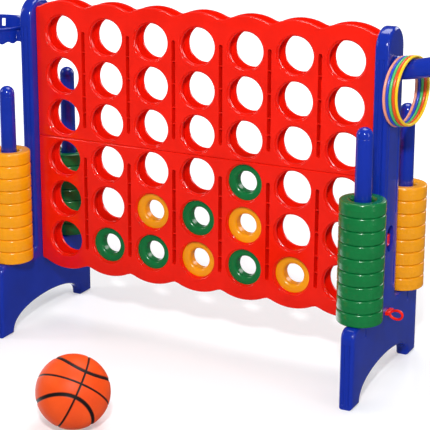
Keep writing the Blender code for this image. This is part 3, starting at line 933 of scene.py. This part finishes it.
def basketball():
    """A ball with sunken seams; an attribute marks them for the material."""
    shape = bmesh.new()
    bmesh.ops.create_cube(shape, size=2)
    bmesh.ops.subdivide_edges(shape, edges=shape.edges[:], cuts=BALL_CUTS, use_grid_fill=True)
    seam = []
    for vert in shape.verts:
        unit = Vector([math.tan(c * math.pi / 4) for c in vert.co]).normalized()
        depth = max(0.0, min(1.0, (SEAM_HALF_WIDTH - seam_distance(unit)) / SEAM_SLOPE))
        seam.append(depth)
        vert.co = unit * (BALL_RADIUS - SEAM_SINK * depth * depth * (3 - 2 * depth))
    bmesh.ops.recalc_face_normals(shape, faces=shape.faces)
    mesh = bpy.data.meshes.new("visual_basketball")
    shape.to_mesh(mesh)
    shape.free()
    layer = mesh.attributes.new("seam", "FLOAT", "POINT")
    layer.data.foreach_set("value", seam)
    place = Matrix.Translation((BALL_LOW + BALL_HIGH) / 2)
    for axis in ("Z", "Y", "X"):
        place = place @ Matrix.Rotation(math.radians(BALL_TURN[axis]), 4, axis)
    mesh.transform(place)
    mesh.materials.append(ball_material())
    mesh.shade_smooth()
    piece = bpy.data.objects.new("visual_basketball", mesh)
    bpy.context.scene.collection.objects.link(piece)
    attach(piece, "basketball")
    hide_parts("basketball")


basketball()


# ---------------------------------------------------------------- studio
FLOOR_COLOUR = (0.74, 0.74, 0.75, 1)
FLOOR_SIZE = 40
GLOW_NEAR, GLOW_FAR = 0.34, 1.05
GLOW_START, GLOW_END = 0.9, 4.5
AMBIENT = 0.32
BACKDROP = 1.15
CARD_WAY = (-0.85, 0.45, -0.26)
CARD_EDGE, CARD_MIDDLE = 0.78, 0.97
ROOM_LEVEL, CARD_LEVEL = 0.13, 2.2
LAMP_AIM = (0, 0, 0.55)
# Each lamp's place from the middle of the board, its width and height in metres, and its watts.
LAMPS = {
    "key": ((1.8, -3.75, 3.2), 0.32, 0.32, 150),
    "left": ((-3.4, -1.6, 2.6), 0.8, 1.6, 28),
    "strip": ((3.6, -1.0, 1.5), 0.35, 2.4, 16),
    "top": ((0.2, 0.8, 4.0), 2.0, 2.0, 70),
    "back": ((1.6, 3.4, 2.0), 1.6, 1.6, 30),
}


def floor_material():
    """Pale, softly glossy, and glowing more with distance so that it ends white."""
    made = bpy.data.materials.new("studio_floor")
    made.use_nodes = True
    tree = made.node_tree
    shader = tree.nodes["Principled BSDF"]
    shader.inputs["Base Color"].default_value = FLOOR_COLOUR
    shader.inputs["IOR"].default_value = 1.3
    shader.inputs["Emission Color"].default_value = (1.0, 1.0, 1.0, 1)
    spot = node(tree, "ShaderNodeNewGeometry")
    reach = node(tree, "ShaderNodeVectorMath", operation="LENGTH")
    tree.links.new(spot.outputs["Position"], reach.inputs[0])
    far = map_range(tree, reach.outputs["Value"], GLOW_NEAR, GLOW_FAR, GLOW_START, GLOW_END)
    # Only the camera sees the glow, so it doesn't light the object.
    path = node(tree, "ShaderNodeLightPath")
    glow = node(tree, "ShaderNodeMath", operation="MULTIPLY")
    tree.links.new(path.outputs["Is Camera Ray"], glow.inputs[0])
    tree.links.new(far, glow.inputs[1])
    tree.links.new(glow.outputs["Value"], shader.inputs["Emission Strength"])
    dust = node(tree, "ShaderNodeTexNoise", Scale=3.0, Detail=4.0)
    tree.links.new(map_range(tree, dust.outputs["Fac"], 0.22, 0.30), shader.inputs["Roughness"])
    return made


def studio_floor():
    """A floor that reflections pass through, so that the glossy faces keep their colour."""
    shape = bmesh.new()
    bmesh.ops.create_grid(shape, x_segments=2, y_segments=2, size=FLOOR_SIZE)
    floor = finished("floor", shape, floor_material())
    floor.location.z = -0.0004
    floor.visible_glossy = False


def studio_world():
    """White to the camera, even light from all round, and one pale card for reflections."""
    world = bpy.data.worlds.new("studio")
    bpy.context.scene.world = world
    world.use_nodes = True
    sky = world.node_tree
    path = node(sky, "ShaderNodeLightPath")
    # Reflections see a dark room with one pale card, low at the rear left.
    heading = node(sky, "ShaderNodeTexCoord")
    toward = node(sky, "ShaderNodeVectorMath", operation="DOT_PRODUCT")
    toward.inputs[1].default_value = CARD_WAY
    sky.links.new(heading.outputs["Generated"], toward.inputs[0])
    card = map_range(sky, toward.outputs["Value"], ROOM_LEVEL, CARD_LEVEL, CARD_EDGE, CARD_MIDDLE)
    level = node(sky, "ShaderNodeMix", data_type="FLOAT")
    level.inputs[2].default_value = AMBIENT
    sky.links.new(path.outputs["Is Glossy Ray"], level.inputs[0])
    sky.links.new(card, level.inputs[3])
    ambient = sky.nodes["Background"]
    ambient.inputs["Color"].default_value = (0.96, 0.98, 1.0, 1)
    sky.links.new(level.outputs[0], ambient.inputs["Strength"])
    backdrop = node(sky, "ShaderNodeBackground", Color=(1.0, 1.0, 1.0, 1), Strength=BACKDROP)
    choice = node(sky, "ShaderNodeMixShader")
    sky.links.new(path.outputs["Is Camera Ray"], choice.inputs["Fac"])
    sky.links.new(ambient.outputs["Background"], choice.inputs[1])
    sky.links.new(backdrop.outputs["Background"], choice.inputs[2])
    sky.links.new(choice.outputs["Shader"], sky.nodes["World Output"].inputs["Surface"])


def studio_lamps():
    """Soft rectangular lamps, all aimed at the middle of the board."""
    for name, (at, width, height, power) in LAMPS.items():
        data = bpy.data.lights.new(name, "AREA")
        data.shape = "RECTANGLE"
        data.size = width
        data.size_y = height
        data.energy = power
        lamp = bpy.data.objects.new(name, data)
        bpy.context.scene.collection.objects.link(lamp)
        middle = Vector((0, CENTRE_Y, 0))
        lamp.location = Vector(at) + middle
        aim = Vector(LAMP_AIM) + middle - lamp.location
        lamp.rotation_euler = aim.to_track_quat("-Z", "Y").to_euler()


# ---------------------------------------------------------------- camera
LENS = 122.6
SHIFT = (0.035, -0.10)
CAMERA_AT = (1.968, CENTRE_Y - 3.787, 1.715)
CAMERA_PITCH = 15.25
CAMERA_HEADING = 27.54


def camera():
    """In front of the right leg and above the board, looking down at it through a long lens."""
    data = bpy.data.cameras.new("camera")
    data.lens = LENS
    data.sensor_width = 36
    data.shift_x, data.shift_y = SHIFT
    data.clip_end = 200
    made = bpy.data.objects.new("camera", data)
    bpy.context.scene.collection.objects.link(made)
    made.location = CAMERA_AT
    made.rotation_euler = (math.radians(90 - CAMERA_PITCH), 0, math.radians(CAMERA_HEADING))
    bpy.context.scene.camera = made


studio_floor()
studio_world()
studio_lamps()
bpy.context.scene.view_settings.view_transform = "Standard"
camera()
